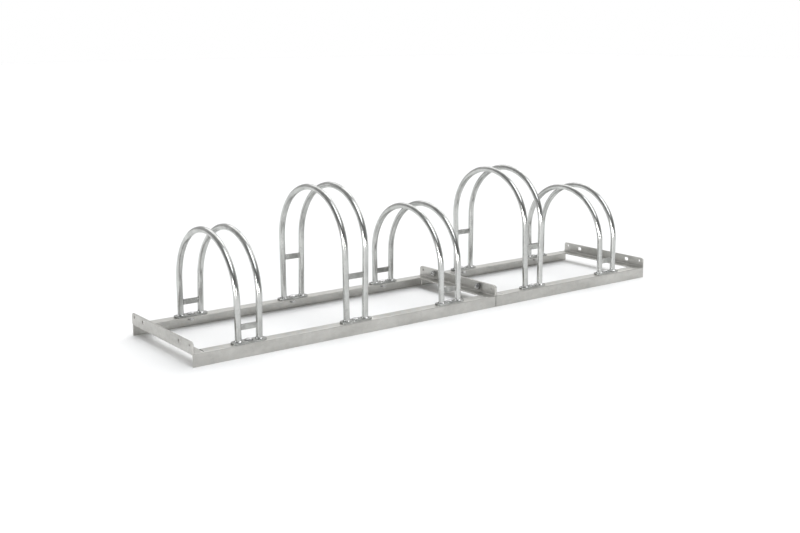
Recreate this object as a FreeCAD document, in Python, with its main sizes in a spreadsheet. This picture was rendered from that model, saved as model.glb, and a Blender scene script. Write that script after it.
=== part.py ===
import FreeCAD, Part
import os
import re

import Sketcher
from FreeCAD import Placement, Rotation, Vector

# A floor bike rack of hot-dip galvanised steel with five wheel places.
# Two modules, of three and of two places, are bolted end to end. Each module is a
# frame of steel angle: two long rails with one leg down to the floor and one leg
# level on top, and two end brackets whose leg stands up above the rails. Every wheel
# place has two bent tube hoops, which lean slightly apart and are welded to a foot plate
# on each rail. One bolt holds each foot plate. Low and high places alternate, so that
# handlebars pass each other.
# The frame of the part: origin on the floor at the middle of the rack, +X along the
# rails, +Y to the back, +Z up. Millimetres.

PLACE_COUNT = 5
HIGH_PLACES = (2, 4)
# Each module's name, its first place and its number of places.
MODULES = (("left", 1, 3), ("right", 4, 2))
SIDES = (("front", -1), ("back", 1))

doc = FreeCAD.newDocument("bike_rack")

# ---------------------------------------------------------------- driving dimensions

sheet = doc.addObject("Spreadsheet::Sheet", "Sizes")
DIMENSIONS = (
    ("pitch", "350", "from one wheel place to the next, and rail length for each place"),
    ("depth", "385", "over the outer faces of the front and back rails"),
    ("angle_leg", "36", "both legs of the steel angle"),
    ("angle_thick", "4", "thickness of the steel angle"),
    ("heel_radius", "3", "rounding of the angle's outer corner"),
    ("root_radius", "4", "rounding of the angle's inner corner"),
    ("toe_radius", "1", "rounding of the edges of the angle's legs"),
    ("rail_setback", "1.5", "from a bracket's outer face to the end of the rail"),
    ("bracket_corner", "9", "radius of the upper corners of a bracket"),
    ("slot_width", "12", "width of a joining slot"),
    ("slot_long", "18", "end to end length of a joining slot"),
    ("slot_offset", "115", "from the rack's middle plane to a joining slot"),
    ("slot_level", "54", "height of the joining slots above the floor"),
    ("vent_bore", "8", "diameter of the small hole near each upper corner of a bracket"),
    ("vent_offset", "175", "from the rack's middle plane to that hole"),
    ("vent_level", "57", "height of that hole above the floor"),
    ("tube_outer", "18", "outer diameter of the hoop tube"),
    ("tube_wall", "2", "wall of the hoop tube"),
    ("hoop_spacing", "64", "between the two hoops of a place at their feet, centre to centre"),
    ("hoop_lean", "0.9", "degrees by which each hoop leans outwards, away from the other"),
    ("low_apex", "320", "height of a low hoop's centreline at its top"),
    ("high_rise", "90", "how much higher a high hoop and its cross plates are"),
    ("leg_spare", "1", "what is cut off a leaning leg so that it stands flat on its foot plate"),
    ("foot_long", "106", "length of a foot plate"),
    ("foot_wide", "30", "width of a foot plate, and so twice the radius of its ends"),
    ("foot_thick", "5", "thickness of a foot plate"),
    ("foot_edge", "0.8", "rounding of a foot plate's upper edge"),
    ("bolt_hole", "11", "clearance hole for a bolt, round in a rail and square in a foot plate"),
    ("cross_high", "16", "height of a cross plate"),
    ("cross_thick", "5", "thickness of a cross plate"),
    ("cross_level", "79.5", "height of the middle of a low place's cross plate"),
    ("cross_wrap", "0.6", "how far a cross plate's hollowed ends reach round the tubes"),
    ("bolt_thread", "10", "nominal diameter of every bolt"),
    ("thread_slack", "0.05", "radial gap between a bolt and its nut"),
    ("hex_width", "17", "across the flats of nuts and hexagon heads"),
    ("head_high", "6.4", "height of a hexagon head"),
    ("nut_high", "8", "height of a nut"),
    ("washer_outer", "20", "outer diameter of a washer"),
    ("washer_thick", "2", "thickness of a washer"),
    ("cup_outer", "24.6", "diameter of a foot bolt's cup head"),
    ("cup_high", "5.2", "height of that head"),
    ("cup_rim", "0.8", "height of the upright rim under its dome"),
    ("neck_width", "10", "width of the square neck under that head"),
    ("neck_high", "4.5", "length of that neck"),
    ("foot_bolt_long", "20", "length of a foot bolt under its head"),
    ("join_bolt_long", "25", "length of a joining bolt under its head"),
    ("weld_size", "3.5", "leg length of the fillet weld round a hoop's foot"),
    ("weld_nose", "0.4", "how far that weld stands out from the tube at its top"),
    # Worked out from the dimensions above.
    ("leg_offset", "=depth / 2 - angle_leg / 2", "from the middle plane to the hoops' legs"),
    ("leg_base", "=angle_leg + foot_thick", "height of the foot plates' upper face"),
    ("bracket_base", "=angle_leg - angle_thick", "height of a bracket's lower edge"),
    ("lean_slope", "=tan(hoop_lean)", "how far a hoop moves outwards for each millimetre of height"),
    ("dome_high", "=cup_high - cup_rim", "height of a cup head's dome"),
    ("dome_round", "=(cup_outer ^ 2 / 4 + dome_high ^ 2) / (2 * dome_high)", "radius of that dome"),
)
for row, (alias, value, meaning) in enumerate(DIMENSIONS, start=1):
    sheet.set(f"A{row}", meaning)
    sheet.set(f"B{row}", value)
    sheet.setAlias(f"B{row}", alias)
doc.recompute()


def value_of(expression):
    """The present value of an expression in the sheet's words."""
    return float(sheet.evalExpression(in_sheet(expression)))


def in_sheet(expression):
    """Puts the sheet's name in front of every alias of an expression."""
    aliases = {alias for alias, value, meaning in DIMENSIONS}

    def named(word):
        return f"Sizes.{word[0]}" if word[0] in aliases else word[0]

    return re.sub("[a-z_]+", named, expression)


def bind(target, prop, expression):
    """Binds a property to the sheet."""
    target.setExpression(prop, in_sheet(expression))


# ---------------------------------------------------------------- sketching


def new_body(label):
    body = doc.addObject("PartDesign::Body", label)
    body.Label = label
    return body


def new_sketch(body, name, plane_role, level="0"):
    """A sketch on one of the body's own origin planes, lifted along its normal."""
    sketch = body.newObject("Sketcher::SketchObject", name)
    planes = [plane for plane in body.Origin.OriginFeatures if plane.Role == plane_role]
    sketch.AttachmentSupport = [(planes[0], "")]
    sketch.MapMode = "FlatFace"
    if level != "0":
        bind(sketch, "AttachmentOffset.Base.z", level)
    return sketch


def fix_point(sketch, geometry, point, across, up):
    """Ties one point of a sketch to the sheet, by its distances from the origin."""
    for kind, expression, axis in (("DistanceX", across, -2), ("DistanceY", up, -1)):
        if expression is None:
            continue
        if expression == "0":
            sketch.addConstraint(Sketcher.Constraint("PointOnObject", geometry, point, axis))
            continue
        distance = Sketcher.Constraint(kind, -1, 1, geometry, point, value_of(expression))
        index = sketch.addConstraint(distance)
        bind(sketch, f"Constraints[{index}]", expression)


def fix_radius(sketch, geometry, expression):
    radius = Sketcher.Constraint("Radius", geometry, value_of(expression))
    index = sketch.addConstraint(radius)
    bind(sketch, f"Constraints[{index}]", expression)


def draw_outline(sketch, corners):
    """A closed outline of straight edges through corners given as expressions."""
    points = [Vector(value_of(across), value_of(up), 0) for across, up in corners]
    edges = []
    for start, end in zip(points, points[1:] + points[:1]):
        edges.append(sketch.addGeometry(Part.LineSegment(start, end), False))
    for edge, following in zip(edges, edges[1:] + edges[:1]):
        sketch.addConstraint(Sketcher.Constraint("Coincident", edge, 2, following, 1))
    for edge, (across, up) in zip(edges, corners):
        fix_point(sketch, edge, 1, across, up)


def draw_circle(sketch, across, up, radius):
    centre = Vector(value_of(across), value_of(up), 0)
    circle = Part.Circle(centre, Vector(0, 0, 1), value_of(radius))
    geometry = sketch.addGeometry(circle, False)
    fix_point(sketch, geometry, 3, across, up)
    fix_radius(sketch, geometry, radius)


def draw_slot(sketch, across, up, half_span, radius):
    """A slot along the sketch's first axis: two round ends joined by straight edges."""
    middle = Vector(value_of(across), value_of(up), 0)
    reach = Vector(value_of(half_span), 0, 0)
    rise = Vector(0, value_of(radius), 0)
    side = Vector(value_of(radius), 0, 0)
    right_end = Part.Arc(middle + reach - rise, middle + reach + side, middle + reach + rise)
    left_end = Part.Arc(middle - reach + rise, middle - reach - side, middle - reach - rise)
    right = sketch.addGeometry(right_end, False)
    left = sketch.addGeometry(left_end, False)
    upper_edge = Part.LineSegment(middle + reach + rise, middle - reach + rise)
    lower_edge = Part.LineSegment(middle - reach - rise, middle + reach - rise)
    upper = sketch.addGeometry(upper_edge, False)
    lower = sketch.addGeometry(lower_edge, False)
    for first, first_end, second, second_end in (
        (right, 2, upper, 1),
        (upper, 2, left, 1),
        (left, 2, lower, 1),
        (lower, 2, right, 1),
    ):
        sketch.addConstraint(Sketcher.Constraint("Tangent", first, first_end, second, second_end))
    sketch.addConstraint(Sketcher.Constraint("Equal", right, left))
    fix_point(sketch, right, 3, f"{across} + {half_span}", up)
    fix_point(sketch, left, 3, f"{across} - {half_span}", up)
    fix_radius(sketch, right, radius)


# ---------------------------------------------------------------- solid features


def pad(body, sketch, length, midplane=False):
    feature = body.newObject("PartDesign::Pad", "Pad")
    feature.Profile = sketch
    bind(feature, "Length", length)
    feature.Midplane = midplane
    doc.recompute()
    return feature


def pocket(body, sketch, length, along_normal=False):
    """Cuts down from a sketch or up along its normal, and makes sure that it took something."""
    before = body.Shape.Volume
    feature = body.newObject("PartDesign::Pocket", "Pocket")
    feature.Profile = sketch
    feature.Reversed = along_normal
    bind(feature, "Length", length)
    doc.recompute()
    if not body.Shape.Volume < before:
        raise RuntimeError(f"{body.Label}: {sketch.Name} cut nothing")
    return feature


def round_edges(body, radius, wanted):
    """Rounds the edges whose two end points pass the test."""
    base = body.Tip
    names = []
    for number, edge in enumerate(base.Shape.Edges, start=1):
        ends = [vertex.Point for vertex in edge.Vertexes]
        if len(ends) == 2 and wanted(*ends):
            names.append(f"Edge{number}")
    feature = body.newObject("PartDesign::Fillet", "Fillet")
    feature.Base = (base, names)
    bind(feature, "Radius", radius)
    doc.recompute()
    return feature


def near(first, second):
    return abs(first - second) < 0.01


def edges_along_x(*corners):
    """A test for edges that run along X through the given corners in Y and Z."""
    return lambda start, end: any(
        near(start.y, y) and near(end.y, y) and near(start.z, z) and near(end.z, z)
        for y, z in corners
    )


def edges_along_y(*corners):
    """A test for edges that run along Y through the given corners in X and Z."""
    return lambda start, end: any(
        near(start.x, x) and near(end.x, x) and near(start.z, z) and near(end.z, z)
        for x, z in corners
    )


def place(piece, along="0", across="0", up="0", turn=0):
    """Puts a piece at a place given as expressions, turned about the vertical axis."""
    piece.Placement = Placement(Vector(), Rotation(Vector(0, 0, 1), turn))
    for coordinate, expression in (("x", along), ("y", across), ("z", up)):
        if expression != "0":
            bind(piece, f"Placement.Base.{coordinate}", expression)


def lean(piece, prop, side):
    """Tips a piece or a sketch by a hoop's lean, to the right for side 1."""
    tipped = Placement(Vector(), Rotation(Vector(0, side, 0), value_of("hoop_lean")))
    setattr(piece, prop, tipped)
    bind(piece, f"{prop}.Rotation.Angle", "hoop_lean")


def place_along(number):
    """Where a wheel place is along the rack: the third of five is in the middle."""
    middle = (PLACE_COUNT + 1) / 2
    return f"pitch * ({number - middle})"


# ---------------------------------------------------------------- frames

leg = value_of("angle_leg")
thick = value_of("angle_thick")
half_depth = value_of("depth") / 2


def make_rail(label, places, along, side):
    """A rail: one leg of the angle stands on the floor, the other is level on top.

    Its frame: X along the rail from its middle, Y from the outer face inwards. At each
    end the level leg is cut back to take the bracket's level leg, flush.
    """
    half_module = f"pitch * {places} / 2"
    body = new_body(label)
    profile = new_sketch(body, "AngleProfile", "YZ_Plane")
    draw_outline(
        profile,
        (
            ("0", "0"),
            ("angle_thick", "0"),
            ("angle_thick", "angle_leg - angle_thick"),
            ("angle_leg", "angle_leg - angle_thick"),
            ("angle_leg", "angle_leg"),
            ("0", "angle_leg"),
        ),
    )
    pad(body, profile, f"{half_module} * 2 - rail_setback * 2", midplane=True)

    round_edges(body, "heel_radius", edges_along_x((0, leg)))
    round_edges(body, "root_radius", edges_along_x((thick, leg - thick)))
    toes = ((0, 0), (thick, 0), (leg, leg), (leg, leg - thick))
    round_edges(body, "toe_radius", edges_along_x(*toes))

    notches = new_sketch(body, "EndNotches", "XY_Plane", "angle_leg")
    for way in ("-1", "1"):
        inner = f"{way} * ({half_module} - angle_leg)"
        outer = f"{way} * {half_module}"
        draw_outline(
            notches,
            (
                (inner, "angle_thick"),
                (outer, "angle_thick"),
                (outer, "angle_leg + angle_thick"),
                (inner, "angle_leg + angle_thick"),
            ),
        )
    pocket(body, notches, "angle_thick + root_radius")

    holes = new_sketch(body, "BoltHoles", "XY_Plane", "angle_leg")
    for number in range(places):
        offset = number - (places - 1) / 2
        where = "0" if offset == 0 else f"pitch * {offset}"
        draw_circle(holes, where, "angle_leg / 2", "bolt_hole / 2")
    pocket(body, holes, "angle_thick")
    turn = 0 if side < 0 else 180
    place(body, along, f"depth * {side} / 2", "0", turn)
    return body


def make_bracket(label, along, turn):
    """An end bracket: the angle lies flush between the rails and its leg stands up.

    Its frame: X from the outer face inwards, Y across the rack, Z from the floor. Below
    the rails' top it is notched at both ends, so that it clears their standing legs,
    and above it the leg runs over the full depth.
    """
    body = new_body(label)
    profile = new_sketch(body, "AngleProfile", "XZ_Plane")
    draw_outline(
        profile,
        (
            ("0", "bracket_base"),
            ("angle_leg", "bracket_base"),
            ("angle_leg", "angle_leg"),
            ("angle_thick", "angle_leg"),
            ("angle_thick", "bracket_base + angle_leg"),
            ("0", "bracket_base + angle_leg"),
        ),
    )
    pad(body, profile, "depth", midplane=True)
    base = value_of("bracket_base")

    round_edges(body, "heel_radius", edges_along_y((0, base)))
    round_edges(body, "root_radius", edges_along_y((thick, leg)))
    upper_ends = ((half_depth, base + leg), (-half_depth, base + leg))
    round_edges(body, "bracket_corner", edges_along_x(*upper_ends))
    toes = ((leg, base), (leg, leg), (0, base + leg), (thick, base + leg))
    round_edges(body, "toe_radius", edges_along_y(*toes))

    notches = new_sketch(body, "RailNotches", "XY_Plane", "angle_leg")
    for way in ("-1", "1"):
        inner = f"{way} * (depth / 2 - angle_thick)"
        outer = f"{way} * (depth / 2 + angle_thick)"
        draw_outline(
            notches,
            (
                ("-1 * angle_thick", inner),
                ("angle_leg + angle_thick", inner),
                ("angle_leg + angle_thick", outer),
                ("-1 * angle_thick", outer),
            ),
        )
    pocket(body, notches, "angle_thick")

    holes = new_sketch(body, "SlotsAndVents", "YZ_Plane", "angle_thick * 2")
    for way in ("-1", "1"):
        half_span = "(slot_long - slot_width) / 2"
        draw_slot(holes, f"{way} * slot_offset", "slot_level", half_span, "slot_width / 2")
        draw_circle(holes, f"{way} * vent_offset", "vent_level", "vent_bore / 2")
    pocket(body, holes, "angle_thick * 3")
    place(body, along, turn=turn)
    return body


# ---------------------------------------------------------------- hoops and feet


def make_hoop(label, number, side, rise):
    """A bent tube: two legs and a half circle in one plane, which leans to the given side.

    Its frame starts at its feet and leans with it, so the feet are cut aslant there.
    """
    body = new_body(label)
    legs = f"(low_apex + {rise} - leg_base) / cos(hoop_lean) - leg_offset"
    section = new_sketch(body, "TubeSection", "XY_Plane", "-1 * leg_spare")
    draw_circle(section, "-1 * leg_offset", "0", "tube_outer / 2")
    draw_circle(section, "-1 * leg_offset", "0", "tube_outer / 2 - tube_wall")
    section_turned = Placement(Vector(), Rotation(Vector(0, 0, 1), 90))
    section.AttachmentOffset = section_turned

    path = new_sketch(body, "BentLine", "YZ_Plane")
    reach = value_of("leg_offset")
    bend = value_of(legs)
    foot = -value_of("leg_spare")
    bow = Part.Arc(Vector(reach, bend, 0), Vector(0, bend + reach, 0), Vector(-reach, bend, 0))
    front_leg = Part.LineSegment(Vector(-reach, foot, 0), Vector(-reach, bend, 0))
    back_leg = Part.LineSegment(Vector(reach, bend, 0), Vector(reach, foot, 0))
    front = path.addGeometry(front_leg, False)
    arch = path.addGeometry(bow, False)
    back = path.addGeometry(back_leg, False)
    path.addConstraint(Sketcher.Constraint("Coincident", front, 2, arch, 2))
    path.addConstraint(Sketcher.Constraint("Coincident", arch, 1, back, 1))
    path.addConstraint(Sketcher.Constraint("Vertical", front))
    path.addConstraint(Sketcher.Constraint("Vertical", back))
    fix_point(path, front, 1, None, "-1 * leg_spare")
    fix_point(path, back, 2, None, "-1 * leg_spare")
    fix_point(path, arch, 3, "0", legs)
    fix_point(path, arch, 1, None, legs)
    fix_point(path, arch, 2, None, legs)
    fix_radius(path, arch, "leg_offset")
    doc.recompute()

    pipe = body.newObject("PartDesign::AdditivePipe", "BentTube")
    pipe.Profile = section
    pipe.Spine = (path, ["Edge1", "Edge2", "Edge3"])
    doc.recompute()

    foot_cut = new_sketch(body, "FootCut", "XY_Plane")
    lean(foot_cut, "AttachmentOffset", -side)
    clear_of_legs = "(leg_offset + tube_outer)"
    draw_outline(
        foot_cut,
        (
            ("-1 * tube_outer", f"-1 * {clear_of_legs}"),
            ("tube_outer", f"-1 * {clear_of_legs}"),
            ("tube_outer", clear_of_legs),
            ("-1 * tube_outer", clear_of_legs),
        ),
    )
    pocket(body, foot_cut, "leg_spare * 2")
    lean(body, "Placement", side)
    bind(body, "Placement.Base.x", f"{place_along(number)} + hoop_spacing * {side} / 2")
    bind(body, "Placement.Base.z", "leg_base")
    return body


def make_foot_plate(label, number, side):
    """A flat plate with round ends and a square bolt hole, flat on the rail's top."""
    body = new_body(label)
    outline = new_sketch(body, "PlateOutline", "XY_Plane")
    draw_slot(outline, "0", "0", "(foot_long - foot_wide) / 2", "foot_wide / 2")
    pad(body, outline, "foot_thick")
    top = value_of("foot_thick")
    round_edges(body, "foot_edge", lambda start, end: near(start.z, top) and near(end.z, top))
    hole = new_sketch(body, "NeckHole", "XY_Plane", "foot_thick")
    draw_outline(
        hole,
        (
            ("-1 * bolt_hole / 2", "-1 * bolt_hole / 2"),
            ("bolt_hole / 2", "-1 * bolt_hole / 2"),
            ("bolt_hole / 2", "bolt_hole / 2"),
            ("-1 * bolt_hole / 2", "bolt_hole / 2"),
        ),
    )
    pocket(body, hole, "foot_thick")
    place(body, place_along(number), f"leg_offset * {side}", "angle_leg")
    return body


def make_cross_plate(label, number, side, rise):
    """A flat bar on edge between two legs, its ends hollowed to fit the leaning tubes."""
    body = new_body(label)
    outline = new_sketch(body, "BarOutline", "XY_Plane")
    middle = f"(cross_level + {rise} - leg_base)"
    half_bar = f"(hoop_spacing / 2 + lean_slope * {middle} - tube_outer / 2 + cross_wrap)"
    draw_outline(
        outline,
        (
            (f"-1 * {half_bar}", "-1 * cross_thick / 2"),
            (half_bar, "-1 * cross_thick / 2"),
            (half_bar, "cross_thick / 2"),
            (f"-1 * {half_bar}", "cross_thick / 2"),
        ),
    )
    pad(body, outline, "cross_high")
    for way in (-1, 1):
        foot = new_sketch(body, "LegAtItsFoot", "XY_Plane")
        lean(foot, "AttachmentOffset", way)
        bind(foot, "AttachmentOffset.Base.x", f"{way} * hoop_spacing / 2")
        bind(foot, "AttachmentOffset.Base.z", f"cross_high / 2 - {middle}")
        draw_circle(foot, "0", "0", "tube_outer / 2")
        pocket(body, foot, f"{middle} + cross_high", along_normal=True)
    level = f"cross_level + {rise} - cross_high / 2"
    place(body, place_along(number), f"leg_offset * {side}", level)
    return body


# ---------------------------------------------------------------- fasteners and welds


def cylinder(name, radius, height, start="0"):
    solid = doc.addObject("Part::Cylinder", name)
    bind(solid, "Radius", radius)
    bind(solid, "Height", height)
    if start != "0":
        bind(solid, "Placement.Base.z", start)
    return solid


def hexagon(name, height):
    """A hexagon of the bolts' width, its corners taken off at the top by a cone."""
    prism = doc.addObject("Part::Prism", f"{name}Prism")
    prism.Polygon = 6
    bind(prism, "Circumradius", "hex_width / sqrt(3)")
    bind(prism, "Height", height)
    cone = doc.addObject("Part::Cone", f"{name}Cone")
    bind(cone, "Radius1", f"hex_width / 2 + {height} * sqrt(3)")
    bind(cone, "Radius2", "hex_width / 2")
    bind(cone, "Height", height)
    return combine("Part::Common", name, prism, cone)


def combine(kind, name, base, tool):
    solid = doc.addObject(kind, name)
    solid.Base = base
    solid.Tool = tool
    return solid


def make_shank(name, length):
    """The shank of a bolt that points down: the underside of its head is at height 0."""
    return cylinder(f"{name}Shank", "bolt_thread / 2 - thread_slack", length, f"-1 * {length}")


def make_hexagon_bolt(name, length):
    head = hexagon(f"{name}Head", "head_high")
    return combine("Part::Fuse", name, head, make_shank(name, length))


def make_cup_bolt(name, length):
    """A bolt with a low domed head and a square neck, which keeps it from turning."""
    dome = doc.addObject("Part::Sphere", f"{name}Dome")
    bind(dome, "Radius", "dome_round")
    bind(dome, "Placement.Base.z", "cup_high - dome_round")
    disc = cylinder(f"{name}Disc", "cup_outer / 2", "cup_high")
    head = combine("Part::Common", f"{name}Head", disc, dome)
    neck = doc.addObject("Part::Box", f"{name}Neck")
    bind(neck, "Length", "neck_width")
    bind(neck, "Width", "neck_width")
    bind(neck, "Height", "neck_high")
    bind(neck, "Placement.Base.x", "-1 * neck_width / 2")
    bind(neck, "Placement.Base.y", "-1 * neck_width / 2")
    bind(neck, "Placement.Base.z", "-1 * neck_high")
    collar = combine("Part::Fuse", f"{name}Collar", head, neck)
    return combine("Part::Fuse", name, collar, make_shank(name, length))


def make_nut(name):
    bore = cylinder(f"{name}Bore", "bolt_thread / 2", "nut_high")
    return combine("Part::Cut", name, hexagon(f"{name}Hexagon", "nut_high"), bore)


def make_washer(name):
    disc = cylinder(f"{name}Disc", "washer_outer / 2", "washer_thick")
    bore = cylinder(f"{name}Bore", "bolt_hole / 2", "washer_thick")
    return combine("Part::Cut", name, disc, bore)


def make_weld(name):
    """A fillet weld round a right hoop's leg, from the foot plate up to the tube.

    The space for the leg leans, and starts below the plate so that it cuts right through.
    """
    fillet = doc.addObject("Part::Cone", f"{name}Slope")
    bind(fillet, "Radius1", "tube_outer / 2 + weld_size")
    bind(fillet, "Radius2", "tube_outer / 2 + weld_nose")
    bind(fillet, "Height", "weld_size")
    leg_space = cylinder(f"{name}Leg", "tube_outer / 2", "weld_size * 3")
    lean(leg_space, "Placement", 1)
    bind(leg_space, "Placement.Base.x", "-1 * weld_size * lean_slope")
    bind(leg_space, "Placement.Base.z", "-1 * weld_size")
    return combine("Part::Cut", name, fillet, leg_space)


def make_links(pattern, places, turn=Rotation()):
    """A link to the pattern at each place, turned alike."""
    links = []
    for along, across, up in places:
        link = doc.addObject("App::Link", f"{pattern.Name}Copy")
        link.LinkedObject = pattern
        link.LinkTransform = False
        link.Placement = Placement(Vector(), turn)
        for coordinate, expression in (("x", along), ("y", across), ("z", up)):
            bind(link, f"Placement.Base.{coordinate}", expression)
        links.append(link)
    return links


def make_group(label, links):
    """One node of like pieces."""
    group = doc.addObject("Part::Compound", label)
    group.Label = label
    group.Links = links
    return group


# ---------------------------------------------------------------- the rack

parts = []
for module, first, places in MODULES:
    start = f"pitch * ({first - 1 - PLACE_COUNT / 2})"
    middle = f"{start} + pitch * {places} / 2"
    for side_name, side in SIDES:
        parts.append(make_rail(f"rail_{module}_{side_name}", places, middle, side))
    parts.append(make_bracket(f"bracket_{module}_module_left", start, 0))
    parts.append(make_bracket(f"bracket_{module}_module_right", f"{start} + pitch * {places}", 180))

for number in range(1, PLACE_COUNT + 1):
    rise = "high_rise" if number in HIGH_PLACES else "0"
    for hoop_name, hoop_side in (("left", -1), ("right", 1)):
        parts.append(make_hoop(f"hoop_{number}_{hoop_name}", number, hoop_side, rise))
    for side_name, side in SIDES:
        parts.append(make_foot_plate(f"foot_plate_{number}_{side_name}", number, side))
        parts.append(make_cross_plate(f"cross_plate_{number}_{side_name}", number, side, rise))

foot_spots = []
leg_spots = {-1: [], 1: []}
for number in range(1, PLACE_COUNT + 1):
    for side_name, side in SIDES:
        foot_spots.append((place_along(number), f"leg_offset * {side}"))
        for hoop_side, spots in leg_spots.items():
            leg_along = f"{place_along(number)} + hoop_spacing * {hoop_side} / 2"
            spots.append((leg_along, f"leg_offset * {side}", "leg_base"))

washer = make_washer("Washer")
nut = make_nut("Nut")
foot_bolt = make_cup_bolt("FootBolt", "foot_bolt_long")
join_bolt = make_hexagon_bolt("JoinBolt", "join_bolt_long")
weld = make_weld("Weld")

on_foot = [(along, across, "leg_base") for along, across in foot_spots]
under_rail = [(along, across, "bracket_base - washer_thick") for along, across in foot_spots]
upside_down = Rotation(Vector(1, 0, 0), 180)
half_turn = Rotation(Vector(0, 0, 1), 180)
parts.append(make_group("foot_bolts", make_links(foot_bolt, on_foot)))
parts.append(make_group("foot_washers", make_links(washer, under_rail)))
parts.append(make_group("foot_nuts", make_links(nut, under_rail, upside_down)))
right_welds = make_links(weld, leg_spots[1])
left_welds = make_links(weld, leg_spots[-1], half_turn)
parts.append(make_group("leg_weld_beads", right_welds + left_welds))

# The modules meet back to back where the left one ends. The bolts go in from the right.
meeting = f"pitch * ({MODULES[0][2] - PLACE_COUNT / 2})"
head_to_right = Rotation(Vector(0, 1, 0), 90)
head_to_left = Rotation(Vector(0, 1, 0), -90)
slot_spots = [(f"slot_offset * {side}", "slot_level") for side_name, side in SIDES]
right_face = f"{meeting} + angle_thick"
left_face = f"{meeting} - angle_thick"
right_washers = [(right_face, across, up) for across, up in slot_spots]
left_washers = [(f"{left_face} - washer_thick", across, up) for across, up in slot_spots]
head_spots = [(f"{right_face} + washer_thick", across, up) for across, up in slot_spots]
join_washers = make_links(washer, right_washers + left_washers, head_to_right)
join_bolts = make_links(join_bolt, head_spots, head_to_right)
join_nuts = make_links(nut, left_washers, head_to_left)
parts.append(make_group("joining_washers", join_washers))
parts.append(make_group("joining_bolts", join_bolts))
parts.append(make_group("joining_nuts", join_nuts))
doc.recompute()

# ---------------------------------------------------------------- tests and files

for piece in doc.Objects:
    if "Invalid" in piece.State or "Error" in piece.State:
        raise RuntimeError(f"{piece.Label} failed: {piece.State}")
for piece in parts:
    if piece.Shape.isNull() or not piece.Shape.isValid():
        raise RuntimeError(f"{piece.Label} has no valid shape")

os.makedirs("parts", exist_ok=True)
for piece in parts:
    piece.Shape.exportStep(f"parts/{piece.Label}.step")
    print(f"{piece.Label}: {len(piece.Shape.Solids)} solids, {piece.Shape.Volume:.0f} mm3")
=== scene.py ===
import math

import bmesh
import bpy
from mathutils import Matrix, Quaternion, Vector


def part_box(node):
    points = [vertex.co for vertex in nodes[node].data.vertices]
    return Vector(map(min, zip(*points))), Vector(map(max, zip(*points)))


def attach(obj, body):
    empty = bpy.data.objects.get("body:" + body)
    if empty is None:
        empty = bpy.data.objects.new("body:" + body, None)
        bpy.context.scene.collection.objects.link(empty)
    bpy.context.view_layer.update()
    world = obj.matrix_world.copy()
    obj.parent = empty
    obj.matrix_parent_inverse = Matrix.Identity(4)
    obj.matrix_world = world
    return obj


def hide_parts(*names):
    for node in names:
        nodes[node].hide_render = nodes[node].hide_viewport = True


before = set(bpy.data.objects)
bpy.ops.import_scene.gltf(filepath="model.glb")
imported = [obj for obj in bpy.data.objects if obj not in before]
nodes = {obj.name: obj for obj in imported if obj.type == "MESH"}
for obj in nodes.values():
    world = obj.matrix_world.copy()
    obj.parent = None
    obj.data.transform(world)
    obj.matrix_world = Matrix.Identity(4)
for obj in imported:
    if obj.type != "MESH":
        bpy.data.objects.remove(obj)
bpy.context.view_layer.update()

# ---------------------------------------------------------------- rails
# The four long rails are rolled steel angle, hot-dip galvanised after they were cut and
# drilled. One leg stands on the floor and one lies level on top. The zinc is dull
# silver, with faint crystals, soft clouds where it cooled unevenly, and a fine grain.


def colour_of(hex_code):
    """The linear colour of an sRGB hex value."""
    channels = []
    for start in (1, 3, 5):
        value = int(hex_code[start:start + 2], 16) / 255
        if value <= 0.04045:
            channels.append(value / 12.92)
        else:
            channels.append(((value + 0.055) / 1.055) ** 2.4)
    return (*channels, 1.0)


def add_node(tree, kind, settings=None, inputs=None):
    """Adds a node, makes its settings, and fills its inputs with values or other outputs."""
    node = tree.nodes.new(kind)
    for setting, value in (settings or {}).items():
        setattr(node, setting, value)
    for socket, value in (inputs or {}).items():
        if isinstance(value, bpy.types.NodeSocket):
            tree.links.new(value, node.inputs[socket])
        else:
            node.inputs[socket].default_value = value
    return node


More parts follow.
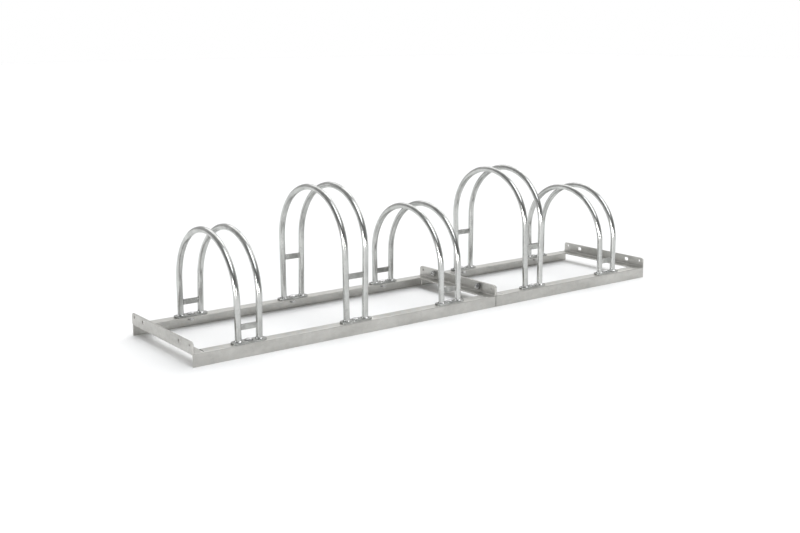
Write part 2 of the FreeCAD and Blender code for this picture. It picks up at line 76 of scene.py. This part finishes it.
def zinc_coating(name, dark, light, gloss, relief_height, stretch=(1, 1, 1)):
    """Hot-dip zinc: clouds and crystals vary its colour and its gloss, and drops its surface.

    dark and light are the colours it varies between, gloss its lowest and highest
    roughness, relief_height the height of its drops in millimetres. A stretch under 1
    along an axis draws the clouds out that way, as where the zinc ran off.
    """
    # The real grain is finer, and is drawn as coarse as it needs to show.
    cloud_size = 0.045
    crystal_size = 0.009
    grain_size = 0.0016
    drop_size = 0.005
    cloud_edges = (0.32, 0.68)
    crystal_contrast = 0.3
    speckle_contrast = 0.5
    grain_height = 0.1
    material = bpy.data.materials.new(name)
    material.use_nodes = True
    tree = material.node_tree
    shader = tree.nodes["Principled BSDF"]
    place = add_node(tree, "ShaderNodeTexCoord").outputs["Object"]
    run = add_node(tree, "ShaderNodeMapping", inputs={"Vector": place, "Scale": stretch})
    clouds = add_node(
        tree,
        "ShaderNodeTexNoise",
        inputs={"Vector": run.outputs[0], "Scale": 1 / cloud_size, "Detail": 5, "Roughness": 0.6},
    )
    crystals = add_node(
        tree,
        "ShaderNodeTexVoronoi",
        inputs={"Vector": place, "Scale": 1 / crystal_size, "Randomness": 1.0},
    )
    crystal_shade = add_node(
        tree, "ShaderNodeSeparateColor", inputs={"Color": crystals.outputs["Color"]}
    )
    grain = add_node(
        tree, "ShaderNodeTexNoise", inputs={"Vector": place, "Scale": 1 / grain_size, "Detail": 3}
    )
    drops = add_node(
        tree,
        "ShaderNodeTexNoise",
        inputs={"Vector": run.outputs[0], "Scale": 1 / drop_size, "Detail": 1},
    )
    cloud_share = add_node(
        tree,
        "ShaderNodeMapRange",
        inputs={
            "Value": clouds.outputs["Fac"],
            "From Min": cloud_edges[0],
            "From Max": cloud_edges[1],
        },
    )
    crystal_share = add_node(
        tree,
        "ShaderNodeMath",
        {"operation": "MULTIPLY_ADD"},
        {0: crystal_shade.outputs["Red"], 1: crystal_contrast, 2: -crystal_contrast / 2},
    )
    shade = add_node(
        tree,
        "ShaderNodeMath",
        {"operation": "ADD", "use_clamp": True},
        {0: cloud_share.outputs["Result"], 1: crystal_share.outputs[0]},
    )
    colour = add_node(
        tree,
        "ShaderNodeMix",
        {"data_type": "RGBA"},
        {"Factor": shade.outputs[0], "A": colour_of(dark), "B": colour_of(light)},
    )
    tree.links.new(colour.outputs["Result"], shader.inputs["Base Color"])
    speckle = add_node(
        tree,
        "ShaderNodeMath",
        {"operation": "MULTIPLY_ADD", "use_clamp": True},
        {0: grain.outputs["Fac"], 1: speckle_contrast, 2: -speckle_contrast / 2},
    )
    dullness = add_node(
        tree,
        "ShaderNodeMath",
        {"operation": "SUBTRACT", "use_clamp": True},
        {0: 1.0, 1: shade.outputs[0]},
    )
    dull_share = add_node(
        tree,
        "ShaderNodeMath",
        {"operation": "ADD", "use_clamp": True},
        {0: dullness.outputs[0], 1: speckle.outputs[0]},
    )
    roughness = add_node(
        tree,
        "ShaderNodeMapRange",
        inputs={"Value": dull_share.outputs[0], "To Min": gloss[0], "To Max": gloss[1]},
    )
    tree.links.new(roughness.outputs["Result"], shader.inputs["Roughness"])
    relief = add_node(
        tree,
        "ShaderNodeMath",
        {"operation": "MULTIPLY_ADD"},
        {0: grain.outputs["Fac"], 1: grain_height, 2: drops.outputs["Fac"]},
    )
    bump = add_node(
        tree,
        "ShaderNodeBump",
        inputs={"Height": relief.outputs[0], "Distance": relief_height / 1000, "Strength": 1.0},
    )
    tree.links.new(bump.outputs["Normal"], shader.inputs["Normal"])
    shader.inputs["Metallic"].default_value = 1.0
    return material


def finish_node(name, material):
    """Gives a carried-over piece its finish."""
    for holder in nodes[name].material_slots:
        holder.material = material


MODULE_NAMES = ("left", "right")
SIDE_NAMES = ("front", "back")
galvanised_angle = zinc_coating(
    "hot_dip_galvanised_angle", "#B7B6B2", "#C9C8C4", (0.34, 0.46), 0.05, (0.35, 1, 1)
)
for module in MODULE_NAMES:
    for side in SIDE_NAMES:
        finish_node(f"rail_{module}_{side}", galvanised_angle)

# ---------------------------------------------------------------- end brackets
# Each module ends in two pieces of the same angle, laid the other way up: one leg lies
# flush between the rails, and the other stands above them, with its upper corners
# rounded and two slots for the bolts that join the modules.

# The zinc is as dull as on the rails, and its clouds are drawn out across the rack.
galvanised_bracket = zinc_coating(
    "hot_dip_galvanised_bracket", "#B4B3AF", "#C7C6C2", (0.32, 0.44), 0.05, (1, 0.35, 1)
)
MODULE_ENDS = ("left", "right")
for module in MODULE_NAMES:
    for end in MODULE_ENDS:
        finish_node(f"bracket_{module}_module_{end}", galvanised_bracket)

# ---------------------------------------------------------------- corner welds
# Where a bracket's level leg meets the rails, the two are butt welded on top, and the
# seam is ground almost flush before the frame goes into the zinc.


def start_piece():
    """Leaves nothing selected, so that the next operators act on the new piece alone."""
    bpy.ops.object.select_all(action="DESELECT")


def turn_on_lathe(name, stations, facets, ring=False):
    """A piece turned about Z: a circle is extruded through (radius, height) stations.

    A ring's stations go round its section and come back to the first one.
    """
    start_piece()
    radius, height = stations[0]
    fill = "NOTHING" if ring else "NGON"
    bpy.ops.mesh.primitive_circle_add(
        vertices=facets, radius=radius, fill_type=fill, location=(0, 0, height)
    )
    piece = bpy.context.object
    piece.name = name
    bpy.ops.object.transform_apply()
    bpy.ops.object.mode_set(mode="EDIT")
    bpy.ops.mesh.select_all(action="SELECT")
    for next_radius, next_height in stations[1:]:
        bpy.ops.mesh.extrude_region_move(
            TRANSFORM_OT_translate={"value": (0, 0, next_height - height)}
        )
        scale = next_radius / radius
        centre = (0, 0, next_height)
        bpy.ops.transform.resize(value=(scale, scale, 1), center_override=centre)
        radius, height = next_radius, next_height
    bpy.ops.mesh.select_all(action="SELECT")
    bpy.ops.mesh.remove_doubles(threshold=1e-6)
    bpy.ops.mesh.normals_make_consistent(inside=False)
    bpy.ops.object.mode_set(mode="OBJECT")
    return piece


def apply_modifier(piece, kind, **settings):
    """Adds a modifier, makes its settings and applies it."""
    start_piece()
    piece.select_set(True)
    bpy.context.view_layer.objects.active = piece
    modifier = piece.modifiers.new(kind.title(), kind)
    for setting, value in settings.items():
        setattr(modifier, setting, value)
    bpy.ops.object.modifier_apply(modifier=modifier.name)


def lay_out(name, pattern, places):
    """Copies a pattern to each (location, turn) and joins the copies into one piece."""
    copies = []
    for location, turn in places:
        start_piece()
        pattern.select_set(True)
        bpy.context.view_layer.objects.active = pattern
        bpy.ops.object.duplicate(linked=False)
        copy = bpy.context.object
        copy.location = location
        copy.rotation_euler = turn
        copies.append(copy)
    bpy.data.objects.remove(pattern)
    for copy in copies:
        copy.select_set(True)
    bpy.context.view_layer.objects.active = copies[0]
    bpy.ops.object.transform_apply()
    bpy.ops.object.join()
    piece = bpy.context.object
    piece.name = name
    return piece


def complete(piece, material, replaced=None, crease=35):
    """Shades a new piece, gives it its finish and fixes it to the rack."""
    start_piece()
    piece.select_set(True)
    bpy.context.view_layer.objects.active = piece
    bpy.ops.object.shade_smooth_by_angle(angle=math.radians(crease))
    piece.data.materials.clear()
    piece.data.materials.append(material)
    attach(piece, "root")
    if replaced:
        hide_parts(replaced)


def bead_stations(length, radius, ripple_length, ripple_depth):
    """A straight bead along Z: rounded ends, and ripples where the weld pool moved on."""
    stations = [(radius * 0.3, 0), (radius * 0.75, radius * 0.3)]
    count = round((length - 2 * radius) / ripple_length)
    for ripple in range(count):
        base = radius + ripple * ripple_length
        stations.append((radius, base + ripple_length * 0.3))
        stations.append((radius - ripple_depth, base + ripple_length * 0.85))
    stations.append((radius * 0.75, length - radius * 0.3))
    stations.append((radius * 0.3, length))
    return stations


SEAM_HALF_WIDTH = 0.0022
SEAM_PROUD = 0.0004
SEAM_LENGTH = 0.028
SEAM_INSET = 0.006
# The zinc lies smooth on a weld's ripples, which glint beside darker hollows.
galvanised_weld = zinc_coating(
    "hot_dip_galvanised_weld", "#80817F", "#CDCDCB", (0.12, 0.26), 0.3
)
seam_stations = bead_stations(
    SEAM_LENGTH, SEAM_HALF_WIDTH, ripple_length=0.0018, ripple_depth=0.0002
)
seam_bead = turn_on_lathe("corner_weld_pattern", seam_stations, facets=16)
seam_bead.scale = (SEAM_PROUD / SEAM_HALF_WIDTH, 1, 1)
start_piece()
seam_bead.select_set(True)
bpy.ops.object.transform_apply()

corner_places = []
along_y = (math.radians(90), math.radians(90), 0)
for module in MODULE_NAMES:
    for end, inward in (("left", 1), ("right", -1)):
        low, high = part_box(f"bracket_{module}_module_{end}")
        seam_x = (high if inward > 0 else low).x
        for side in SIDE_NAMES:
            rail_low, rail_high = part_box(f"rail_{module}_{side}")
            if side == "front":
                seam_start = rail_low.y + SEAM_INSET + SEAM_LENGTH
            else:
                seam_start = rail_high.y - SEAM_INSET
            place = Vector((seam_x, seam_start, rail_high.z))
            corner_places.append((place, along_y))
corner_welds = lay_out("corner_seam_welds", seam_bead, corner_places)
complete(corner_welds, galvanised_weld, crease=60)

# ---------------------------------------------------------------- hoops
# Each wheel place has two hoops of bent steel tube, a low or a high pair. The zinc on
# them is thinner and brighter than on the angle, and it ran down the legs.

PLACE_NUMBERS = range(1, 6)
HAND_NAMES = ("left", "right")
galvanised_tube = zinc_coating(
    "hot_dip_galvanised_tube", "#A8A9A7", "#CBCCCA", (0.14, 0.26), 0.07, (1, 1, 0.3)
)
for number in PLACE_NUMBERS:
    for hand in HAND_NAMES:
        finish_node(f"hoop_{number}_{hand}", galvanised_tube)

# ---------------------------------------------------------------- foot plates and cross plates
# Flat bar cut with round ends for the feet, and a short bar on edge between the two
# legs on each side, which keeps the pair apart.

# Their zinc is darker and patchier than the rails', with small shiny drops. The darker colour is
# partly the bar's own duller zinc and partly painted shade and painted reflection for the dark
# ends and edges of the feet.
galvanised_plate = zinc_coating(
    "hot_dip_galvanised_plate", "#8A8B88", "#B4B5B2", (0.2, 0.38), 0.2
)
for number in PLACE_NUMBERS:
    for side in SIDE_NAMES:
        finish_node(f"foot_plate_{number}_{side}", galvanised_plate)
        finish_node(f"cross_plate_{number}_{side}", galvanised_plate)

# ---------------------------------------------------------------- welds at the legs
# A fillet weld runs round each leg where it stands on its foot plate. Its ripples are
# the weld pools, one beside the other, rounded over by the zinc.

TUBE_RADIUS = 0.009
WELD_LEG = 0.0035
WELD_SUNK = 0.0003
WELD_HOLLOW = 0.18
WELD_STEPS = 6
WELD_RIPPLES = 20
RIPPLE_DEPTHS = (0.0, 0.05, 0.16, 0.26)
LUMP_SIZE = 0.005
LUMP_HEIGHT = 0.0008
corner_radius = TUBE_RADIUS - WELD_SUNK
weld_section = [(corner_radius, -WELD_SUNK)]
for step in range(WELD_STEPS + 1):
    angle = math.radians(90) * step / WELD_STEPS
    bulge = WELD_LEG * (1 - WELD_HOLLOW * math.sin(2 * angle))
    weld_section.append(
        (TUBE_RADIUS + bulge * math.cos(angle) - WELD_SUNK, bulge * math.sin(angle))
    )
weld_section.append((corner_radius, -WELD_SUNK))
weld_facets = WELD_RIPPLES * len(RIPPLE_DEPTHS)
weld_ring = turn_on_lathe("leg_weld_pattern", weld_section, weld_facets, ring=True)

bpy.context.view_layer.objects.active = weld_ring
bpy.ops.object.mode_set(mode="EDIT")
for facet in range(weld_facets):
    drawn_in = RIPPLE_DEPTHS[facet % len(RIPPLE_DEPTHS)]
    if not drawn_in:
        continue
    turn = math.tau * facet / weld_facets
    outwards = Vector((math.sin(turn), math.cos(turn), 0))
    work = bmesh.from_edit_mesh(weld_ring.data)
    for vertex in work.verts:
        level = Vector((vertex.co.x, vertex.co.y, 0))
        vertex.select = (level.normalized() - outwards).length < 1e-3
    work.select_flush_mode()
    bmesh.update_edit_mesh(weld_ring.data)
    bpy.ops.transform.resize(
        value=(1 - drawn_in,) * 3, center_override=outwards * corner_radius
    )
bpy.ops.object.mode_set(mode="OBJECT")

# Each weld is turned on from the one before, so that no two show the same side.
WELD_TURN = 67
foot_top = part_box("foot_plate_1_front")[1].z
leg_places = []
for number in PLACE_NUMBERS:
    for hand in HAND_NAMES:
        low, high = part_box(f"hoop_{number}_{hand}")
        foot_x = high.x - TUBE_RADIUS if hand == "left" else low.x + TUBE_RADIUS
        for leg_y in (low.y + TUBE_RADIUS, high.y - TUBE_RADIUS):
            leg_place = Vector((foot_x, leg_y, foot_top))
            leg_turn = (0, 0, math.radians(WELD_TURN * len(leg_places)))
            leg_places.append((leg_place, leg_turn))
leg_welds = lay_out("leg_fillet_welds", weld_ring, leg_places)
unevenness = bpy.data.textures.new("weld_unevenness", "CLOUDS")
unevenness.noise_scale = LUMP_SIZE
apply_modifier(
    leg_welds,
    "DISPLACE",
    texture=unevenness,
    strength=LUMP_HEIGHT,
    mid_level=0.6,
    texture_coords="LOCAL",
)
complete(leg_welds, galvanised_weld, "leg_weld_beads", crease=50)

# ---------------------------------------------------------------- welds at the cross plates
# Both ends of each cross plate are welded to the legs with a short upright bead on
# each face of the plate.

CROSS_BEAD_RADIUS = 0.0015
CROSS_BEAD_CLEAR = 0.0005
HOOP_LEAN = math.radians(0.9)
cross_low, cross_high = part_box("cross_plate_1_front")
cross_height = cross_high.z - cross_low.z
cross_stations = bead_stations(
    cross_height - 2 * CROSS_BEAD_CLEAR,
    CROSS_BEAD_RADIUS,
    ripple_length=0.0017,
    ripple_depth=0.0003,
)
cross_bead = turn_on_lathe("cross_weld_pattern", cross_stations, facets=14)
cross_places = []
for number in PLACE_NUMBERS:
    for side in SIDE_NAMES:
        low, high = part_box(f"cross_plate_{number}_{side}")
        inwards = CROSS_BEAD_RADIUS / 2 + math.tan(HOOP_LEAN) * cross_height
        for bead_x, lean in ((low.x + inwards, -HOOP_LEAN), (high.x - inwards, HOOP_LEAN)):
            for bead_y in (low.y, high.y):
                bead_place = Vector((bead_x, bead_y, low.z + CROSS_BEAD_CLEAR))
                cross_places.append((bead_place, (0, lean, 0)))
cross_welds = lay_out("cross_plate_welds", cross_bead, cross_places)
complete(cross_welds, galvanised_weld, crease=60)

# ---------------------------------------------------------------- foot bolts, washers and nuts
# One M10 cup head bolt goes down through each foot plate and rail, its square neck in the
# plate's square hole, with a washer and a nut under the rail. They are pressed and rolled
# steel with bright zinc plating, which is thin, even and shiny.

THREAD_RADIUS = 0.00495
THREAD_PITCH = 0.0015
THREAD_DEPTH = 0.0008
CUP_RADIUS = 0.0123
CUP_HEIGHT = 0.0052
CUP_RIM = 0.0008
NECK_WIDTH = 0.010
NECK_LENGTH = 0.0045
HEX_WIDTH = 0.017
HEX_FACE = 0.008
HEAD_HEIGHT = 0.0064
NUT_HEIGHT = 0.008
WASHER_RADIUS = 0.010
WASHER_BORE = 0.0055
WASHER_THICK = 0.002
FOOT_BOLT_LENGTH = 0.020
NUT_TURN = 29
zinc_plating = zinc_coating(
    "bright_zinc_plated_steel", "#A0A1A1", "#CACAC9", (0.12, 0.24), 0.03
)


def make_shank(length):
    """A threaded shank that points down from height 0 and reaches a little above it."""
    tip = 0.0012
    above = 0.002
    stations = [(THREAD_RADIUS - tip, -length), (THREAD_RADIUS, tip - length)]
    height = tip - length + THREAD_PITCH / 2
    while height < -THREAD_PITCH:
        stations.append((THREAD_RADIUS - THREAD_DEPTH, height))
        stations.append((THREAD_RADIUS, height + THREAD_PITCH * 0.45))
        stations.append((THREAD_RADIUS, height + THREAD_PITCH * 0.55))
        height += THREAD_PITCH
    stations.append((THREAD_RADIUS - THREAD_DEPTH / 2, 0))
    stations.append((THREAD_RADIUS - THREAD_DEPTH / 2, above))
    return turn_on_lathe("turned_shank", stations, facets=28)


def add_to(piece, other):
    """Makes one body of two that overlap."""
    apply_modifier(piece, "BOOLEAN", operation="UNION", object=other, solver="EXACT")
    bpy.data.objects.remove(other)


def make_cup_bolt(name, length):
    """A cup head bolt that points down. The underside of its head is at height 0."""
    edge = 0.0003
    dome_height = CUP_HEIGHT - CUP_RIM
    dome_radius = (CUP_RADIUS**2 + dome_height**2) / (2 * dome_height)
    widest = math.asin(CUP_RADIUS / dome_radius)
    stations = [(0.001, 0), (CUP_RADIUS - edge, 0), (CUP_RADIUS, edge)]
    steps = 9
    for step in range(steps):
        angle = widest * (1 - step / steps)
        rise = dome_radius * (math.cos(angle) - math.cos(widest))
        stations.append((dome_radius * math.sin(angle), CUP_RIM + rise))
    stations.append((0.0004, CUP_HEIGHT))
    bolt = turn_on_lathe(name, stations, facets=48)

    start_piece()
    spare = 0.001
    bpy.ops.mesh.primitive_cube_add(size=1, location=(0, 0, (spare - NECK_LENGTH) / 2))
    neck = bpy.context.object
    neck.scale = (NECK_WIDTH, NECK_WIDTH, NECK_LENGTH + spare)
    bpy.ops.object.transform_apply()
    apply_modifier(neck, "BEVEL", width=0.0006, segments=2)
    add_to(bolt, neck)
    add_to(bolt, make_shank(length))
    return bolt


def make_hexagon(name, height, both_ends):
    """A hexagon of the bolts' width. A 30 degree cone takes its corners off."""
    corner = HEX_WIDTH / math.sqrt(3)
    start_piece()
    bpy.ops.mesh.primitive_cylinder_add(
        vertices=6, radius=corner, depth=height, location=(0, 0, height / 2)
    )
    prism = bpy.context.object
    prism.name = name
    bpy.ops.object.transform_apply()
    spare = 0.001
    slope = math.tan(math.radians(30))
    cone = (corner + spare - HEX_FACE) * slope
    stations = [(HEX_FACE, 0), (corner + spare, cone)] if both_ends else [(corner + spare, -spare)]
    stations += [(corner + spare, height - cone), (HEX_FACE, height)]
    blank = turn_on_lathe("turned_blank", stations, facets=72)
    apply_modifier(prism, "BOOLEAN", operation="INTERSECT", object=blank, solver="EXACT")
    bpy.data.objects.remove(blank)
    return prism


def make_nut(name):
    """A nut that stands on height 0. Its bore has a countersink at both ends."""
    bore = THREAD_RADIUS + 0.00005
    sink = 0.0006
    past = 0.001
    stations = [
        (bore + sink + past, -past),
        (bore, sink),
        (bore, NUT_HEIGHT - sink),
        (bore + sink + past, NUT_HEIGHT + past),
    ]
    cutter = turn_on_lathe("bore_cutter", stations, facets=40)
    nut = make_hexagon(name, NUT_HEIGHT, True)
    apply_modifier(nut, "BOOLEAN", operation="DIFFERENCE", object=cutter, solver="EXACT")
    bpy.data.objects.remove(cutter)
    return nut


def make_washer(name):
    """A punched washer on height 0, its outer edge rounded by the punch."""
    edge = 0.0003
    stations = [
        (WASHER_BORE, 0),
        (WASHER_RADIUS - edge, 0),
        (WASHER_RADIUS, edge),
        (WASHER_RADIUS, WASHER_THICK - edge),
        (WASHER_RADIUS - edge, WASHER_THICK),
        (WASHER_BORE + edge, WASHER_THICK),
        (WASHER_BORE, WASHER_THICK - edge),
        (WASHER_BORE, 0),
    ]
    return turn_on_lathe(name, stations, facets=64, ring=True)


washer_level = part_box("foot_washers")[0].z
washer_places = []
bolt_places = []
nut_places = []
for number in PLACE_NUMBERS:
    for side in SIDE_NAMES:
        low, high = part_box(f"foot_plate_{number}_{side}")
        centre = (low + high) / 2
        nut_turn = (0, 0, math.radians(NUT_TURN * len(nut_places)))
        bolt_places.append((Vector((centre.x, centre.y, high.z)), (0, 0, 0)))
        washer_places.append((Vector((centre.x, centre.y, washer_level)), (0, 0, 0)))
        nut_place = Vector((centre.x, centre.y, washer_level - NUT_HEIGHT))
        nut_places.append((nut_place, nut_turn))
foot_bolt = make_cup_bolt("foot_bolt_pattern", FOOT_BOLT_LENGTH)
foot_bolts = lay_out("foot_cup_bolts", foot_bolt, bolt_places)
foot_washers = lay_out("foot_round_washers", make_washer("washer_pattern"), washer_places)
foot_nuts = lay_out("foot_hex_nuts", make_nut("nut_pattern"), nut_places)
complete(foot_bolts, zinc_plating, "foot_bolts")
complete(foot_washers, zinc_plating, "foot_washers")
complete(foot_nuts, zinc_plating, "foot_nuts", crease=25)

# ---------------------------------------------------------------- joining washers, bolts and nuts
# Where the modules meet, two hexagon bolts lie along the rack, through the slots of both
# brackets, with a washer on each side. They are zinc plated like the foot bolts.

JOIN_BOLT_LENGTH = 0.025
washer_low, washer_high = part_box("joining_washers")
slot_ys = (washer_low.y + WASHER_RADIUS, washer_high.y - WASHER_RADIUS)
slot_z = (washer_low.z + washer_high.z) / 2
upright_to_right = (0, math.radians(90), 0)
washer_places = []
bolt_places = []
nut_places = []
for slot_y in slot_ys:
    left_washer = Vector((washer_low.x, slot_y, slot_z))
    right_washer = Vector((washer_high.x - WASHER_THICK, slot_y, slot_z))
    washer_places += [(left_washer, upright_to_right), (right_washer, upright_to_right)]
    bolt_places.append((Vector((washer_high.x, slot_y, slot_z)), upright_to_right))
    nut_place = Vector((washer_low.x - NUT_HEIGHT, slot_y, slot_z))
    nut_places.append((nut_place, upright_to_right))
joining_washers = lay_out("joining_round_washers", make_washer("washer_pattern"), washer_places)
join_bolt = make_hexagon("join_bolt_pattern", HEAD_HEIGHT, False)
add_to(join_bolt, make_shank(JOIN_BOLT_LENGTH))
joining_bolts = lay_out("joining_hex_bolts", join_bolt, bolt_places)
joining_nuts = lay_out("joining_hex_nuts", make_nut("nut_pattern"), nut_places)
complete(joining_washers, zinc_plating, "joining_washers")
complete(joining_bolts, zinc_plating, "joining_bolts", crease=25)
complete(joining_nuts, zinc_plating, "joining_nuts", crease=25)

# ---------------------------------------------------------------- floor and room
# A plain white floor without end, and a room round it that is pale behind the rack and
# dark behind the camera.

FLOOR_SIZE = 60
start_piece()
bpy.ops.mesh.primitive_plane_add(size=FLOOR_SIZE)
floor = bpy.context.object
floor.name = "studio_floor"
floor_paint = bpy.data.materials.new("matt_white_floor")
floor_paint.use_nodes = True
floor_shader = floor_paint.node_tree.nodes["Principled BSDF"]
floor_shader.inputs["Base Color"].default_value = colour_of("#F7F7F6")
floor_shader.inputs["Roughness"].default_value = 0.95
floor_shader.inputs["Specular IOR Level"].default_value = 0.1
floor.data.materials.append(floor_paint)

room = bpy.data.worlds.new("studio_room")
bpy.context.scene.world = room
room.use_nodes = True
room_tree = room.node_tree
room_tree.nodes.clear()
direction = add_node(room_tree, "ShaderNodeTexCoord").outputs["Generated"]
height = add_node(room_tree, "ShaderNodeSeparateXYZ", inputs={"Vector": direction}).outputs["Z"]

# The room's walls by how far they lie behind the rack, and its ceiling above them.
BEHIND = Vector((0.6, 0.8, 0))
WALL_FADE = (-0.8, 0.6)
DARK_WALL = 0.14
PALE_WALL = 0.6
CEILING_FADE = (0.45, 0.85)
CEILING = 0.4
depth = add_node(
    room_tree, "ShaderNodeVectorMath", {"operation": "DOT_PRODUCT"}, {0: direction, 1: BEHIND}
)
walls = add_node(
    room_tree,
    "ShaderNodeMapRange",
    {"interpolation_type": "SMOOTHSTEP"},
    {
        "Value": depth.outputs["Value"],
        "From Min": WALL_FADE[0],
        "From Max": WALL_FADE[1],
        "To Min": DARK_WALL,
        "To Max": PALE_WALL,
    },
)
ceiling_share = add_node(
    room_tree,
    "ShaderNodeMapRange",
    {"interpolation_type": "SMOOTHSTEP"},
    {"Value": height, "From Min": CEILING_FADE[0], "From Max": CEILING_FADE[1]},
)
walls_and_ceiling = add_node(
    room_tree,
    "ShaderNodeMix",
    inputs={"Factor": ceiling_share.outputs["Result"], "A": walls.outputs["Result"], "B": CEILING},
)
floor_share = add_node(
    room_tree, "ShaderNodeMath", {"operation": "LESS_THAN"}, {0: height, 1: 0.0}
)
view = add_node(room_tree, "ShaderNodeLightPath")
white_share = add_node(
    room_tree,
    "ShaderNodeMath",
    {"operation": "MAXIMUM"},
    {0: floor_share.outputs[0], 1: view.outputs["Is Camera Ray"]},
)
level = add_node(
    room_tree,
    "ShaderNodeMix",
    inputs={"Factor": white_share.outputs[0], "A": walls_and_ceiling.outputs["Result"], "B": 1.0},
)
background = add_node(
    room_tree, "ShaderNodeBackground", inputs={"Color": level.outputs["Result"], "Strength": 1.0}
)
add_node(
    room_tree, "ShaderNodeOutputWorld", inputs={"Surface": background.outputs["Background"]}
)

# ---------------------------------------------------------------- lamps
# Soft round lamps far away: one behind the rack, one on the right, one overhead, and a low
# one on either side of the camera, which draw the bright lines down the hoops. Each is
# given by its azimuth, elevation and width in degrees and its strength.

LAMP_DISTANCE = 4


def add_lamp(name, azimuth, elevation, width, strength, colour="#FFFFFF"):
    """A soft lamp. Azimuth 0 stands in front of the rack and 90 at its right end."""
    light = bpy.data.lights.new(name, "SUN")
    light.energy = strength
    light.angle = math.radians(width)
    light.color = colour_of(colour)[:3]
    lamp = bpy.data.objects.new(name, light)
    bpy.context.scene.collection.objects.link(lamp)
    around, above = math.radians(azimuth), math.radians(elevation)
    towards = Vector(
        (
            math.sin(around) * math.cos(above),
            -math.cos(around) * math.cos(above),
            math.sin(above),
        )
    )
    lamp.location = towards * LAMP_DISTANCE
    lamp.rotation_euler = towards.to_track_quat("Z", "Y").to_euler()


add_lamp("back_panel", 150, 52, 54, 0.75)
add_lamp("right_softbox", 106, 40, 46, 0.6)
add_lamp("overhead_softbox", -5, 62, 46, 1.55, "#F9FBFF")
add_lamp("left_softbox", -72, 3, 12, 1.9)
add_lamp("front_softbox", -13, 5, 9, 0.5)

# ---------------------------------------------------------------- camera
# It stands in front of the rack's left end and looks across it almost level. The frame
# is shifted down instead, which keeps the hoops upright in it.

CAMERA_PLACE = Vector((-2.08792, -2.70406, 0.85695))
CAMERA_AZIMUTH = -36.89
CAMERA_ELEVATION = 7.134
CAMERA_ROLL = -0.136
CAMERA_LENS = 49.03
CAMERA_SENSOR = 36
CAMERA_SHIFT = -0.12
view_around = math.radians(CAMERA_AZIMUTH)
view_above = math.radians(CAMERA_ELEVATION)
away = Vector(
    (
        math.sin(view_around) * math.cos(view_above),
        -math.cos(view_around) * math.cos(view_above),
        math.sin(view_above),
    )
)
camera_data = bpy.data.cameras.new("camera")
camera_data.lens = CAMERA_LENS
camera_data.sensor_width = CAMERA_SENSOR
camera_data.shift_y = CAMERA_SHIFT
camera = bpy.data.objects.new("camera", camera_data)
bpy.context.scene.collection.objects.link(camera)
camera.location = CAMERA_PLACE
camera.rotation_mode = "QUATERNION"
level_view = away.to_track_quat("Z", "Y")
camera.rotation_quaternion = level_view @ Quaternion((0, 0, 1), math.radians(CAMERA_ROLL))
bpy.context.scene.camera = camera
bpy.context.scene.view_settings.view_transform = "Standard"
